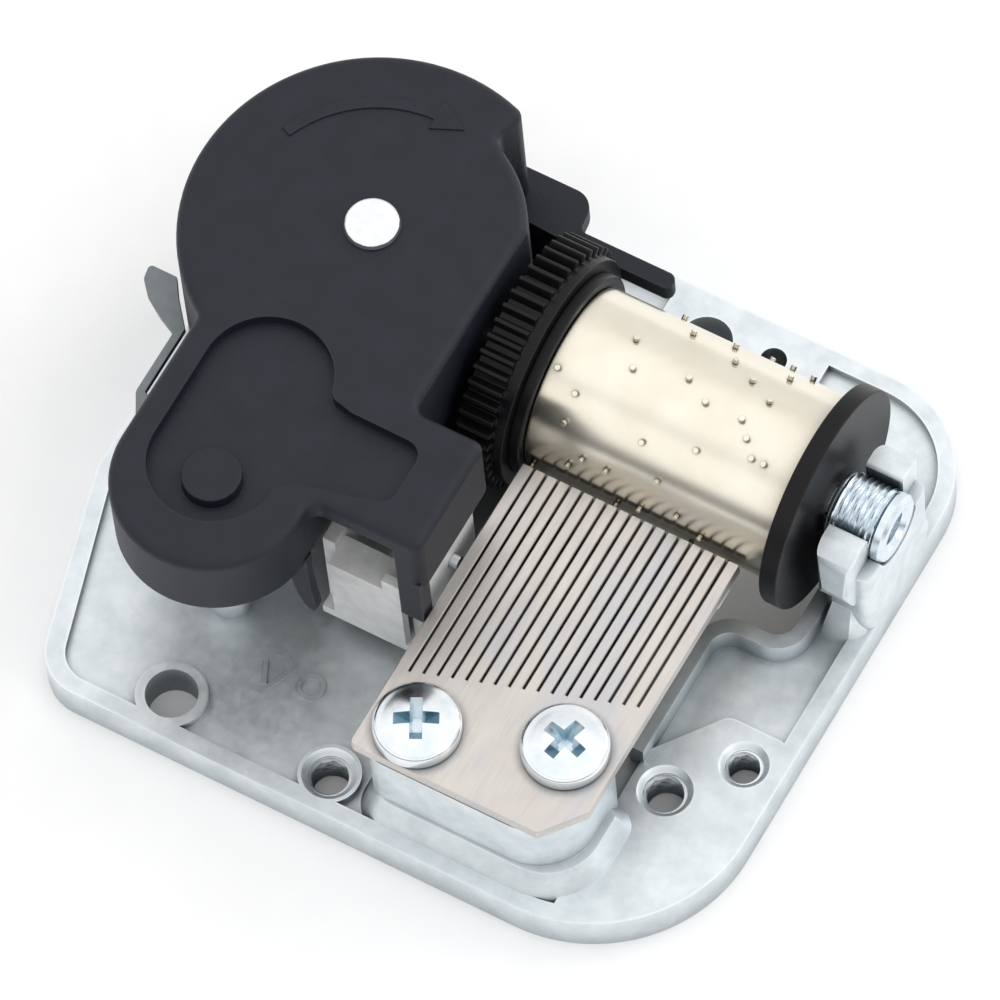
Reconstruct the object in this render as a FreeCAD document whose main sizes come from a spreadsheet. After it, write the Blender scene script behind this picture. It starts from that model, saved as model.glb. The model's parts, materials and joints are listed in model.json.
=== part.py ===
import FreeCAD, Part
import math
import os
import re
from types import SimpleNamespace
from FreeCAD import Rotation, Vector

# Wind-up music movement. The origin is on the winding arbor's axis, at the
# underside of the bedplate; +X runs along the pinned cylinder, +Y to the rear.
DIMENSIONS = {
    # zinc bedplate
    "plate_length": 50.5, "plate_width": 45.0, "plate_floor": 2.4, "plate_rim": 3.0,
    "pit_floor": 1.0, "pit_gap": 0.4, "rim_width": 1.15, "arbor_from_left": 12.6, "arbor_from_front": 31.4,
    "corner_front": 11.0, "corner_rear": 7.5, "corner_left": 3.5,
    "slant_inset": 4.1, "slant_length": 15.0,
    "window_left": 12.8, "window_right": 33.7, "window_front": -18.5, "window_rear": 6.4,
    "window_step_x": 28.4, "window_step_y": -7.2, "rib_width": 1.0, "rib_top": 4.4,
    # fixing holes of the bedplate
    "fixing_bore": 1.45, "small_bore": 1.25, "clear_bore": 1.75, "peg_bore": 0.9,
    "hole_ring": 0.65, "thread_chamfer": 0.4,
    # comb foot, bearing saddle and governor posts cast on the bedplate
    "foot_height": 2.2, "foot_taper": -32.0, "saddle_left": 34.2, "saddle_half": 4.1,
    "saddle_drop": 0.6, "saddle_foot": 2.0, "saddle_taper": -25.0, "ear_width": 2.7,
    "ear_reach": 4.9, "ear_rise": 2.0, "ear_low": 4.0, "post_radius": 1.4, "post_top": 4.6,
    "axle_post_width": 2.4, "axle_post_thick": 1.1,
    # pinned cylinder and its bearings
    "axis_y": 0.5, "axis_z": 10.5, "drum_radius": 6.45, "drum_wall": 0.4,
    "drum_left": 14.0, "drum_length": 17.9, "pin_radius": 0.2, "pin_reach": 0.35,
    "disc_radius": 7.75, "disc_width": 1.3, "shaft_radius": 1.2, "pivot_radius": 0.8,
    "running_gap": 0.05, "bush_radius": 2.47, "bush_length": 4.3, "bush_gap": 0.35,
    "thread_pitch": 0.5, "thread_depth": 0.24,
    # toothed flange at the left end of the cylinder
    "gear_left": 9.9, "gear_width": 2.5, "gear_teeth": 48, "gear_module": 0.345,
    "tooth_out": 0.25, "tooth_in": 0.45, "gear_clear": 0.3, "flange_radius": 8.0,
    "flange_width": 0.75, "ring_radius": 7.15, "ring_width": 0.8,
    # tuned comb
    "comb_left": 14.15, "comb_width": 15.95, "comb_teeth": 18, "comb_thick": 0.9,
    "comb_base_y": -29.15, "comb_top": 10.5, "slot_width": 0.16, "slot_root_left": -22.9,
    "slot_root_right": -18.3, "tip_gap": 0.1, "comb_corner": 2.2,
    "screw_one_x": 17.55, "screw_one_y": -26.25, "screw_two_x": 26.65, "screw_two_y": -23.15,
    "screw_radius": 1.4, "head_radius": 2.9, "head_height": 1.7, "screw_depth": 5.0,
    "cross_length": 3.2, "cross_width": 0.7, "cross_depth": 0.9,
    # spring housing
    "top_z": 20.0, "hood_z": 14.3, "roof": 1.0, "shell_wall": 1.1, "housing_radius": 12.7,
    "notch_depth": 2.7, "notch_angle": 68.0, "notch_x": 9.0, "box_rear": -10.35,
    "box_front": -19.15, "box_right": 14.2, "flank_x": -6.8, "lobe_x": -0.15,
    "lobe_y": -20.5, "lobe_radius": 6.65, "leg_z": 9.7, "leg_width": 1.7,
    "front_window_left": 6.4, "front_window_top": 18.4, "shelf_z": 9.8, "shelf_thick": 1.4,
    "bolt_radius": 0.8, "bolt_head": 1.45, "edge_round": 0.7, "corner_round": 0.8,
    "panel_depth": 0.8, "panel_bend": 0.9, "hood_roof": 1.6, "plug_radius": 1.97,
    "plug_proud": 0.1, "chamber_radius": 8.0,
    "chamber_z": 13.4, "cover_thick": 0.6,
    # winding arbor, spring and clutch
    "arbor_radius": 2.0, "socket_radius": 1.65, "socket_depth": 6.0, "rivet_radius": 1.95,
    "rivet_proud": 0.5, "spring_inner": 2.35, "spring_thick": 0.25, "spring_pitch": 0.72,
    "spring_turns": 7, "spring_height": 5.0, "ratchet_radius": 4.2, "ratchet_thick": 1.0,
    "ratchet_teeth": 16, "crown_teeth": 62, "crown_outer": 11.1, "crown_inner": 10.1,
    "crown_thick": 0.6, "crown_tooth": 0.6, "crown_mesh": 0.2,
    # speed governor
    "idler_teeth": 12, "idler_width": 1.7, "governor_teeth": 14, "governor_angle": 195.0,
    "worm_teeth": 40, "worm_wheel_radius": 5.0, "worm_wheel_width": 0.8, "worm_starts": 2, "axle_radius": 0.5,
    "spindle_radius": 0.5, "fan_radius": 4.9, "fan_z": 15.3, "fan_height": 2.9,
    "brake_radius": 2.2, "brake_lift": 0.9, "brake_thick": 0.6,
    "bracket_wall": 0.9, "bracket_left": 6.0, "bracket_right": 12.3, "bracket_front": -18.0,
    "bracket_depth": 6.7, "bracket_low": 3.9, "bracket_floor": 0.8, "bracket_foot": 5.6,
    "guard_front": -19.0, "guard_thick": 0.65, "guard_top": 11.4, "guard_right": 10.9,
    "guard_post": 12.6, "guard_cap": 2.3,
    # stop lever
    "lever_x": -7.8, "lever_y": -15.0, "lever_thick": 0.5, "lever_pin": 0.55,
    "lever_foot": 1.2, "lever_head": 0.8,
}

doc = FreeCAD.newDocument("MusicMovement")
sheet = doc.addObject("Spreadsheet::Sheet", "Sizes")
for row, (alias, number) in enumerate(DIMENSIONS.items(), start=1):
    sheet.set(f"A{row}", alias)
    sheet.set(f"B{row}", str(number))
    sheet.setAlias(f"B{row}", alias)
doc.recompute()
size = SimpleNamespace(**{alias: float(sheet.get(alias)) for alias in DIMENSIONS})

ALONG_X = Rotation(Vector(0, 1, 0), 90)
UPRIGHT = Rotation()
sub_parts = []


def bind(item, prop, formula):
    """Bind a property to a formula written with the sheet's own words."""
    named = re.sub(r"[a-z]\w+", lambda word: "Sizes." + word[0] if word[0] in DIMENSIONS
                   else word[0], str(formula))
    item.setExpression(prop, named)


def place(item, at, turn=UPRIGHT):
    item.Placement = FreeCAD.Placement(Vector(), turn)
    for axis, formula in zip("xyz", at):
        bind(item, f"Placement.Base.{axis}", formula)
    return item


def cylinder(name, radius, height, at=(0, 0, 0), turn=UPRIGHT):
    item = doc.addObject("Part::Cylinder", name)
    bind(item, "Radius", radius)
    bind(item, "Height", height)
    return place(item, at, turn)


def cone(name, low, high, height, at=(0, 0, 0), turn=UPRIGHT):
    item = doc.addObject("Part::Cone", name)
    bind(item, "Radius1", low)
    bind(item, "Radius2", high)
    bind(item, "Height", height)
    return place(item, at, turn)


def box(name, length, width, height, at=(0, 0, 0)):
    item = doc.addObject("Part::Box", name)
    bind(item, "Length", length)
    bind(item, "Width", width)
    bind(item, "Height", height)
    return place(item, at)


def fuse(name, *pieces):
    item = doc.addObject("Part::MultiFuse", name)
    item.Shapes = list(pieces)
    return item


def cut(name, base, *tools):
    item = doc.addObject("Part::Cut", name)
    item.Base = base
    item.Tool = tools[0] if len(tools) == 1 else fuse(name + "Tools", *tools)
    return item


def feature(name, shape, at=(0, 0, 0), turn=UPRIGHT):
    """A freely shaped solid; its Placement follows its Shape."""
    item = doc.addObject("Part::Feature", name)
    item.Shape = shape
    return place(item, at, turn)


def rounded_outline(corners):
    """Lines and tangent arcs through corners given as (x, y, corner radius)."""
    edges = []
    ends = []
    for index, (x, y, radius) in enumerate(corners):
        here = Vector(x, y, 0)
        before = Vector(*corners[index - 1][:2], 0) - here
        after = Vector(*corners[(index + 1) % len(corners)][:2], 0) - here
        before.normalize()
        after.normalize()
        if radius == 0:
            ends.append((here, here, None))
            continue
        half = before.getAngle(after) / 2
        reach = radius / math.tan(half)
        middle = (before + after).normalize()
        bulge = here + middle * (radius / math.sin(half) - radius)
        ends.append((here + before * reach, here + after * reach, bulge))
    for index, (start, stop, bulge) in enumerate(ends):
        if bulge is not None:
            edges.append(Part.Arc(start, bulge, stop))
        onward = ends[(index + 1) % len(ends)][0]
        if stop.distanceToPoint(onward) > 1e-6:
            edges.append(Part.LineSegment(stop, onward))
    return edges


def pad(name, corners, base, height, taper=None):
    """A body with one sketched outline, padded upwards from the level base."""
    body = doc.addObject("PartDesign::Body", name)
    sketch = body.newObject("Sketcher::SketchObject", name + "Outline")
    plane = next(f for f in body.Origin.OriginFeatures if f.Role == "XY_Plane")
    sketch.AttachmentSupport = [(plane, "")]
    sketch.MapMode = "FlatFace"
    sketch.addGeometry(rounded_outline(corners), False)
    solid = body.newObject("PartDesign::Pad", name + "Pad")
    solid.Profile = sketch
    bind(solid, "Length", height)
    if taper:
        bind(solid, "TaperAngle", taper)
    place(body, (0, 0, base))
    return body


def finish(item, label):
    item.Label = label
    sub_parts.append(item)


def toothed_wire(teeth, tip, root, tip_width, root_width, phase):
    """Closed outline of a gear in the XY plane, one tooth centred on the phase angle."""
    points = []
    for number in range(int(teeth)):
        angle = math.radians(phase + 360.0 / teeth * number)
        along = Vector(math.cos(angle), math.sin(angle), 0)
        across = Vector(-math.sin(angle), math.cos(angle), 0)
        points.append(along * root - across * (root_width / 2))
        points.append(along * tip - across * (tip_width / 2))
        points.append(along * tip + across * (tip_width / 2))
        points.append(along * root + across * (root_width / 2))
    return Part.makePolygon(points + points[:1])


def spur(teeth, module, width, phase, bore):
    """Spur gear along +Z with straight-sided, slightly slack teeth."""
    pitch = teeth * module / 2
    pace = math.pi * module
    wire = toothed_wire(teeth, pitch + size.tooth_out, pitch - size.tooth_in,
                        pace * 0.24, pace * 0.56, phase)
    blank = Part.Face(wire).extrude(Vector(0, 0, width))
    if bore:
        blank = blank.cut(Part.makeCylinder(bore, width))
    return blank


# Places that several pieces share
plate_left = -size.arbor_from_left
plate_right = size.plate_length - size.arbor_from_left
plate_front = -size.arbor_from_front
plate_rear = size.plate_width - size.arbor_from_front
gear_pitch = size.gear_teeth * size.gear_module / 2
gear_tip = gear_pitch + size.tooth_out
idler_pitch = size.idler_teeth * size.gear_module / 2
governor_pitch = size.governor_teeth * size.gear_module / 2
idler_y = size.axis_y - gear_pitch - idler_pitch
governor_turn = math.radians(size.governor_angle)
governor_y = idler_y + (idler_pitch + governor_pitch) * math.cos(governor_turn)
governor_z = size.axis_z + (idler_pitch + governor_pitch) * math.sin(governor_turn)
pin_circle = size.drum_radius + size.pin_reach
comb_tip_y = size.axis_y - pin_circle - size.tip_gap
drum_right = size.drum_left + size.drum_length
disc_right = drum_right + size.disc_width
crown_z = size.axis_z - gear_pitch + size.crown_mesh - size.crown_tooth - size.crown_thick
worm_pace = 2 * math.pi * size.worm_wheel_radius / size.worm_teeth
WORM_TURNS = 3
worm_start = governor_z - worm_pace * size.worm_starts * WORM_TURNS / 2
brake_z = worm_start + worm_pace * size.worm_starts * WORM_TURNS + size.brake_lift
notch_radius = size.housing_radius - size.notch_depth
SCREWS = {"One": ("screw_one_x", "screw_one_y"), "Two": ("screw_two_x", "screw_two_y")}
FIXING_HOLES = {
    "front_left": (0.0, plate_front + 2.95, "clear_bore"),
    "front_middle": (11.9, plate_front + 2.75, "fixing_bore"),
    "right_front": (plate_right - 6.3, plate_front + 11.75, "fixing_bore"),
    "right_rear": (plate_right - 2.7, plate_front + 15.75, "small_bore"),
    "rear_large": (18.1, plate_rear - 3.25, "clear_bore"),
    "rear_small": (22.7, plate_rear - 2.5, "peg_bore"),
}
HOUSING_SCREWS = {"Rear": (5.9, 11.7), "Front": (-4.9, -13.4)}
BRACKET_SCREW = (8.3, -16.5)


def plate_outline(inset):
    """The bedplate's edge, or a line a given distance inside it."""
    left, right = plate_left + inset, plate_right - inset
    front, rear = plate_front + inset, plate_rear - inset
    return [
        (left + size.slant_inset, front, max(size.corner_left - inset, 0.5)),
        (right, front, size.corner_front - inset),
        (right, rear, size.corner_rear - inset),
        (left, rear, size.corner_rear - inset),
        (left, front + size.slant_length - inset, 2.0),
    ]


def window_outline():
    """Opening under the comb and the cylinder."""
    step_x, step_y = size.window_step_x, size.window_step_y
    return [
        (size.window_left, size.window_front, 1.5), (step_x, size.window_front, 1.5),
        (step_x, step_y, 1.4), (size.window_right, step_y, 1.7),
        (size.window_right, size.window_rear, 1.5), (size.window_left, size.window_rear, 1.5)]


def rib_outline():
    """Raised lip along the window's stepped right side."""
    wall = size.rib_width
    step_x, step_y, right = size.window_step_x, size.window_step_y, size.window_right
    end = step_y + 5.2
    return [
        (step_x, size.window_front, 0), (step_x + wall, size.window_front, 0),
        (step_x + wall, step_y - wall, 1.4), (right + wall, step_y - wall, 2.4),
        (right + wall, end, 0), (right, end, 0), (right, step_y, 1.4), (step_x, step_y, 2.4)]


def make_comb_foot():
    """Pedestal of the comb, on a wide sloping foot."""
    left, right = size.comb_left, size.comb_left + size.comb_width
    front, rear = size.comb_base_y, size.slot_root_left
    foot = pad("CombFoot", [(left + 0.1, front - 1.6, 2.6), (right + 1.4, front - 1.6, 5.0),
                            (right + 1.4, rear + 1.5, 2.0), (left + 0.1, rear - 0.7, 2.0)],
               "plate_floor", "foot_height", "foot_taper")
    seat = pad("CombSeat", [(left + 0.75, front - 0.05, 1.5), (right - 0.5, front - 0.05, 4.0),
                            (right - 0.5, rear + 2.0, 1.5), (left + 0.75, rear - 0.5, 1.5)],
               "plate_floor", "comb_top - comb_thick - plate_floor")
    return [foot, seat]


def make_saddle():
    """Bearing block of the cylinder, with two rounded ears staked over the bush."""
    front, rear = size.axis_y - size.saddle_half, size.axis_y + size.saddle_half
    block = pad("Saddle", [(size.saddle_left, front, 1.2), (plate_right, front, 0.8),
                           (plate_right, rear, 0.8), (size.saddle_left, rear, 1.2)],
                "plate_floor", "axis_z - saddle_drop - plate_floor")
    reach = size.saddle_half + 1.3
    foot = pad("SaddleFoot", [(size.saddle_left - 0.4, size.axis_y - reach, 1.0),
                              (plate_right, size.axis_y - reach, 1.0),
                              (plate_right, size.axis_y + reach, 1.0),
                              (size.saddle_left - 0.4, size.axis_y + reach, 1.0)],
               "plate_floor", "saddle_foot + 1", "saddle_taper")
    low, high = -size.ear_low, size.ear_rise
    outer, inner = size.ear_reach, size.bush_radius - 0.1
    profile = rounded_outline([
        (outer - 0.5, low, 0.5), (outer, low + 1.5, 1.2), (outer - 0.2, high - 0.9, 0.8),
        (outer - 1.4, high, 0.6), (inner, high, 0.3), (inner, low, 0)])
    ears = []
    for name, side in (("Front", -1), ("Rear", 1)):
        points = Part.Face(Part.Wire(Part.sortEdges([edge.toShape() for edge in profile])[0]))
        ear = points.extrude(Vector(0, 0, size.ear_width))
        upright = FreeCAD.Matrix(0, 0, 1, 0, side, 0, 0, 0, 0, 1, 0, 0)
        ear = ear.transformGeometry(upright)
        plan = rounded_outline([
            (0, side * (inner - 0.1), 0), (size.ear_width, side * (inner - 0.1), 0),
            (size.ear_width, side * (outer + 0.1), 1.1), (0, side * (outer + 0.1), 1.1)])
        plan = Part.Face(Part.Wire(Part.sortEdges([edge.toShape() for edge in plan])[0]))
        plan.translate(Vector(0, 0, low))
        ear = ear.common(plan.extrude(Vector(0, 0, high - low)))
        ears.append(feature(f"Ear{name}", ear, ("saddle_left + 0.1", "axis_y", "axis_z")))
    return [block, foot, *ears]


def make_bedplate():
    base = pad("PlateBase", plate_outline(0), 0, "plate_floor")
    outer = pad("RimOuter", plate_outline(0), 0, "plate_rim")
    inner = pad("RimInner", plate_outline(size.rim_width), "plate_floor", "plate_rim")
    rim = cut("Rim", outer, inner)
    rib = pad("WindowRib", rib_outline(), "plate_floor", "rib_top - plate_floor")
    window = pad("Window", window_outline(), -1, "plate_rim + rib_top + 2")
    hole_x, hole_y = FIXING_HOLES["right_front"][:2]
    edge_right, edge_front, edge_rear = plate_right - 0.5, plate_front + 0.5, plate_rear - 0.5
    land_left, land_right = FIXING_HOLES["rear_large"][0] - 3.6, FIXING_HOLES["rear_small"][0] + 3.4
    lands = [
        pad("LandRight", [(hole_x - 2.4, edge_front, 1.0), (edge_right, edge_front, 10.4),
                          (edge_right, hole_y + 6.6, 1.0), (plate_right - 5.2, hole_y + 6.6, 1.0),
                          (hole_x - 2.4, hole_y + 2.0, 1.5)], 0, "plate_rim"),
        pad("LandRear", [(land_left, plate_rear - 5.6, 1.0), (land_right, plate_rear - 5.6, 1.0),
                         (land_right, edge_rear, 0.3), (land_left, edge_rear, 0.3)], 0, "plate_rim")]
    posts = [cylinder("SpindlePost", "post_radius", "post_top - plate_floor",
                      ("lobe_x", "lobe_y", "plate_floor")),
             box("AxlePost", "axle_post_thick", "axle_post_width",
                 f"{governor_z} + axle_post_width / 2 - plate_floor",
                 ("lobe_x - axle_post_thick * 2", f"{governor_y} - axle_post_width / 2", "plate_floor"))]
    rings = []
    bores = [cylinder("WheelPit", "crown_outer + pit_gap", 3, (0, 0, "pit_floor")),
             box("GearPit", "window_left - gear_left + gear_clear * 2", 8.0, 3,
                 ("gear_left - gear_clear", "axis_y - 4", f"axis_z - {gear_tip} - gear_clear")),
             cylinder("AxleHole", "axle_radius + running_gap", 3,
                      ("lobe_x - 3", governor_y, governor_z), ALONG_X),
             cylinder("ArborHole", "arbor_radius + running_gap + 0.4", "plate_rim + 2", (0, 0, -1)),
             cylinder("PostBore", "spindle_radius + running_gap", "post_top",
                      ("lobe_x", "lobe_y", "post_top - 1.6")),
             cylinder("BushSeat", "bush_radius", 9, ("saddle_left - 0.5", "axis_y", "axis_z"), ALONG_X)]
    for name, (x, y, radius) in FIXING_HOLES.items():
        rings.append(cylinder(f"Ring_{name}", f"{radius} + hole_ring", "plate_rim", (x, y, 0)))
        bores.append(cylinder(f"Bore_{name}", radius, "plate_rim + 2", (x, y, -1)))
        if radius in ("fixing_bore", "small_bore"):
            bores.append(cone(f"Lead_{name}", radius, f"{radius} + thread_chamfer",
                              "thread_chamfer", (x, y, "plate_rim - thread_chamfer")))
    for name, (x, y) in SCREWS.items():
        bores.append(cylinder(f"CombHole{name}", "screw_radius + running_gap", "screw_depth + 1",
                              (x, y, "comb_top - comb_thick - screw_depth")))
    for name, (x, y) in {**HOUSING_SCREWS, "Bracket": BRACKET_SCREW}.items():
        bores.append(cylinder(f"HousingHole{name}", "bolt_radius + 0.1", "plate_rim + 2", (x, y, -1)))
        bores.append(cylinder(f"HousingSink{name}", "bolt_head + 0.1", 2, (x, y, -1)))
    solid = fuse("PlateSolid", base, rim, rib, *lands, *make_comb_foot(), *posts, *make_saddle(), *rings)
    finish(cut("Bedplate", cut("PlateOpen", solid, window), *bores), "bedplate")


def make_housing():
    hood = block(housing_face(True), size.top_z - size.hood_z)
    hood = hood.makeFillet(size.edge_round, [edge for edge in hood.Edges
                                             if edge.BoundBox.ZMin > size.top_z - size.hood_z - 0.01])
    upper = feature("HousingUpper", hood, (0, 0, "hood_z"))
    wall = feature("HousingLower", block(housing_face(False), size.hood_z - size.plate_rim + 0.2),
                   (0, 0, "plate_rim"))
    hollow = [
        cylinder("WheelBay", "housing_radius - shell_wall", "chamber_z - cover_thick - plate_rim",
                 (0, 0, "plate_rim - 0.01")),
        cylinder("SpringBay", "chamber_radius", "top_z - roof - chamber_z + cover_thick + 0.1",
                 (0, 0, "chamber_z - cover_thick - 0.1")),
        cylinder("FanBay", "lobe_radius - shell_wall", "top_z - hood_roof - hood_z + 1",
                 ("lobe_x", "lobe_y", "hood_z - 1")),
        box("WheelSlot", 3.0, 11.0, "top_z - hood_roof - hood_z",
            ("lobe_x - 1.5", "lobe_y + 1", "hood_z - 1")),
        box("BoxBay", "box_right - shell_wall - front_window_left",
            "box_rear - box_front - shell_wall * 2", "top_z - hood_roof - hood_z + 1",
            ("front_window_left", "box_front + shell_wall", "hood_z - 1")),
        box("FrontWindow", "box_right - leg_width - 0.2 - front_window_left", "shell_wall + 1",
            "front_window_top - hood_z + 1", ("front_window_left", "box_front - 0.9", "hood_z - 1")),
    ]
    bores = [
        cylinder("RivetHole", "arbor_radius - 0.5 + running_gap", 9, (0, 0, "top_z - 5")),
        cylinder("PlugHole", "plug_radius + 0.02", 9, ("lobe_x", "lobe_y", "top_z - 5")),
        cylinder("PivotHole", "pivot_radius + running_gap", 3, ("notch_x - 2", "axis_y", "axis_z"),
                 ALONG_X),
        cylinder("IdlerHole", "axle_radius + running_gap", "notch_x - bracket_left + 1",
                 ("bracket_left", idler_y, "axis_z"), ALONG_X),
        box("GovernorOpening", 9.1, "housing_radius - 9.1", "hood_z - plate_rim + 0.01",
            (-1.8, "0 - housing_radius - 0.1", "plate_rim - 0.01")),
        panel_recess(),
    ]
    for name, (x, y) in HOUSING_SCREWS.items():
        bores.append(cylinder(f"BoltHole{name}", "bolt_radius + running_gap", 5.2,
                              (x, y, "plate_floor - 0.1")))
    shell = cut("HousingShell", fuse("HousingOuter", upper, wall), *hollow)
    tab = box("PivotTab", "notch_x - chamber_radius - 0.1", 5.0,
              "chamber_z - cover_thick - axis_z + 2.8",
              ("chamber_radius + 0.1", "axis_y - 2.5", "axis_z - 2.5"))
    leg = box("BoxLeg", "leg_width", "shell_wall", "hood_z - leg_z + 0.5",
              ("box_right - leg_width - 0.2", "box_front", "leg_z"))
    hook = latch_hook()
    arm = size.axis_y + gear_tip + size.gear_clear
    shelf = pad("RearShelf", [
        (1.0, 11.6, 0), (3.2, 13.1, 0.4), (8.6, 13.1, 1.5), (8.9, arm + 1.2, 0.5), (16.2, arm + 1.2, 0.6),
        (16.2, arm, 0.5), (9.3, arm, 0.3), (4.6, 9.6, 0)], "shelf_z - shelf_thick", "shelf_thick")
    posts = [cylinder("PostRear", "bolt_head + 0.1", "shelf_z - plate_rim - 0.5",
                      (*HOUSING_SCREWS["Rear"], "plate_rim")),
             cylinder("PostFront", "bolt_head + 0.1", "top_z - 2 - plate_floor",
                      (*HOUSING_SCREWS["Front"], "plate_floor"))]
    whole = fuse("HousingWhole", shell, tab, leg, hook, shelf, *posts)
    finish(cut("DriveHousing", whole, *bores), "drive_housing")


def arc_edge(radius, start, stop):
    """Arc about the arbor between two angles in degrees."""
    points = [Vector(radius, 0, 0) for _ in range(3)]
    turned = [Rotation(Vector(0, 0, 1), angle).multVec(point)
              for point, angle in zip(points, (start, (start + stop) / 2, stop))]
    return Part.Arc(*turned).toShape()


def housing_face(with_hood):
    """Plan of the housing: drum, with flank, lobe and gear box where the hood covers them."""
    def disc(radius, x, y):
        return Part.Face(Part.Wire(Part.Circle(Vector(x, y, 0), Vector(0, 0, 1), radius).toShape()))

    def plane(x, y, right, rear):
        return Part.makePlane(right - x, rear - y, Vector(x, y, 0))
    face = disc(size.housing_radius, 0, 0)
    if with_hood:
        face = face.fuse([
            disc(size.lobe_x - size.flank_x, size.lobe_x, size.lobe_y),
            plane(size.flank_x, size.lobe_y, size.lobe_x + 5, 0),
            plane(0, size.box_front, size.box_right, size.box_rear),
            plane(0, size.box_front, size.notch_x, 0)])
    far = size.housing_radius * 3
    inner, outer = notch_radius, size.housing_radius + 2
    ring = [arc_edge(inner, 0, size.notch_angle), arc_edge(outer, 0, size.notch_angle),
            Part.makeLine(Vector(inner, 0, 0), Vector(outer, 0, 0)),
            Part.makeLine(*(Rotation(Vector(0, 0, 1), size.notch_angle).multVec(Vector(r, 0, 0))
                            for r in (inner, outer)))]
    sector = Part.Face(Part.Wire(Part.sortEdges(ring)[0]))
    face = face.cut([plane(size.notch_x, size.box_rear, far, far), sector]).removeSplitter()
    return face.Faces[0]


def block(face, height):
    """Extrude a plan and round its upright corners."""
    solid = face.extrude(Vector(0, 0, height))
    return solid.makeFillet(size.corner_round, upright_corners(solid))


def upright_corners(solid):
    """Vertical edges where two sides meet at an angle."""
    corners = []
    for edge in solid.Edges:
        if len(edge.Vertexes) < 2 or abs(edge.tangentAt(edge.FirstParameter).z) < 0.99:
            continue
        point = edge.Vertexes[0].Point
        normals = [side.normalAt(*side.Surface.parameter(point))
                   for side in solid.ancestorsOfType(edge, Part.Face)]
        if len(normals) == 2 and abs(normals[0].dot(normals[1])) < 0.98:
            corners.append(edge)
    return corners


def panel_recess():
    """Recess in the top round the governor, its upright corners rounded."""
    depth = size.panel_depth
    bottom = size.top_z - depth
    bend = Part.makeCylinder(4.35, depth + 1, Vector(size.lobe_x - 0.4, size.lobe_y + 7.75, bottom))
    bow = Part.makeCylinder(4.4, depth + 1, Vector(size.lobe_x - 0.35, size.lobe_y + 1, bottom))
    right, front, rear = size.box_right - 3.25, size.box_front + 2.05, size.box_rear - 2.2
    strip = [(size.lobe_x - 4.75, size.lobe_y + 1, 0), (3.7, size.lobe_y + 1, 0),
             (5.0, size.lobe_y + 1.9, 0), (right, front, 1.2), (right, rear, 1.2),
             (5.6, rear + 0.05, 0), (3.4, rear + 0.55, 0), (size.lobe_x - 4.75, rear + 0.15, 0)]
    edges = [edge.toShape() for edge in rounded_outline(strip)]
    face = Part.Face(Part.Wire(Part.sortEdges(edges)[0]))
    face.translate(Vector(0, 0, bottom))
    shape = bend.fuse([bow, face.extrude(Vector(0, 0, depth + 1))]).removeSplitter()
    sharp = [edge for edge in upright_corners(shape.Solids[0])
             if edge.Vertexes[0].Point.x > size.lobe_x and edge.Vertexes[0].Point.x < right - 2]
    return feature("PanelRecess", shape.Solids[0].makeFillet(size.panel_bend, sharp))


def latch_hook():
    """Moulded finger that hangs from the hood's front edge and curves outwards to its tip."""
    path = [(0, 0.7), (-1.6, 0.72), (-3.2, 0.68), (-4.4, 0.6), (-5.2, 0.45), (-5.6, 0.2)]
    left = [Vector(drop * drop * 0.035 - half, 0, drop) for drop, half in path]
    right = [Vector(drop * drop * 0.035 + half, 0, drop) for drop, half in path]
    outline = left + right[::-1]
    finger = Part.Face(Part.makePolygon(outline + outline[:1])).extrude(Vector(0, -0.7, 0))
    return feature("LatchHook", finger, (5.9, -20.2, "hood_z + 0.4"), Rotation(Vector(1, 0, 0), -6))


def make_plug():
    body = cylinder("PlugBody", "plug_radius", "hood_roof + plug_proud + 0.2",
                    ("lobe_x", "lobe_y", "top_z - hood_roof - 0.2"))
    bore = cylinder("PlugBore", "spindle_radius + running_gap", 1.5,
                    ("lobe_x", "lobe_y", "top_z + plug_proud - roof - 1.7"))
    finish(cut("BearingPlug", body, bore), "spindle_bearing_plug")


def make_arbor():
    stem = cylinder("ArborStem", "arbor_radius", "top_z - roof - 1.2")
    neck = cylinder("ArborNeck", "arbor_radius - 0.5", "roof + 1.3", (0, 0, "top_z - roof - 1.3"))
    head = cone("ArborHead", "rivet_radius", "rivet_radius - 0.2", "rivet_proud", (0, 0, "top_z"))
    socket = cylinder("ArborSocket", "socket_radius", "socket_depth", (0, 0, 0))
    finish(cut("WindingArbor", fuse("ArborSolid", stem, neck, head), socket), "winding_arbor")


def make_spring():
    """Spiral ribbon of half circles whose radius grows by half a pitch each."""
    step = size.spring_pitch / 2

    def half_turns(offset):
        edges = []
        for number in range(int(size.spring_turns * 2)):
            radius = size.spring_inner + offset + step * (number + 0.5)
            centre = step / 2 if number % 2 == 0 else -step / 2
            side = 1 if number % 2 == 0 else -1
            edges.append((Vector(centre - radius * side, 0, 0), Vector(centre, radius * side, 0),
                          Vector(centre + radius * side, 0, 0)))
        return edges
    inner = half_turns(0)
    outer = half_turns(size.spring_thick)
    edges = [Part.Arc(*three).toShape() for three in inner + outer]
    edges.append(Part.makeLine(inner[0][0], outer[0][0]))
    edges.append(Part.makeLine(inner[-1][2], outer[-1][2]))
    face = Part.Face(Part.Wire(Part.sortEdges(edges)[0]))
    item = feature("MainspringRibbon", face.extrude(Vector(0, 0, size.spring_height)),
                   (0, 0, "chamber_z + 0.2"))
    finish(item, "mainspring")


def make_spring_cover():
    disc = cylinder("CoverDisc", "chamber_radius - 0.03", "cover_thick",
                    (0, 0, "chamber_z - cover_thick"))
    bore = cylinder("CoverBore", "arbor_radius + running_gap", 3, (0, 0, "chamber_z - 2"))
    finish(cut("SpringCover", disc, bore), "spring_cover")


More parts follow.
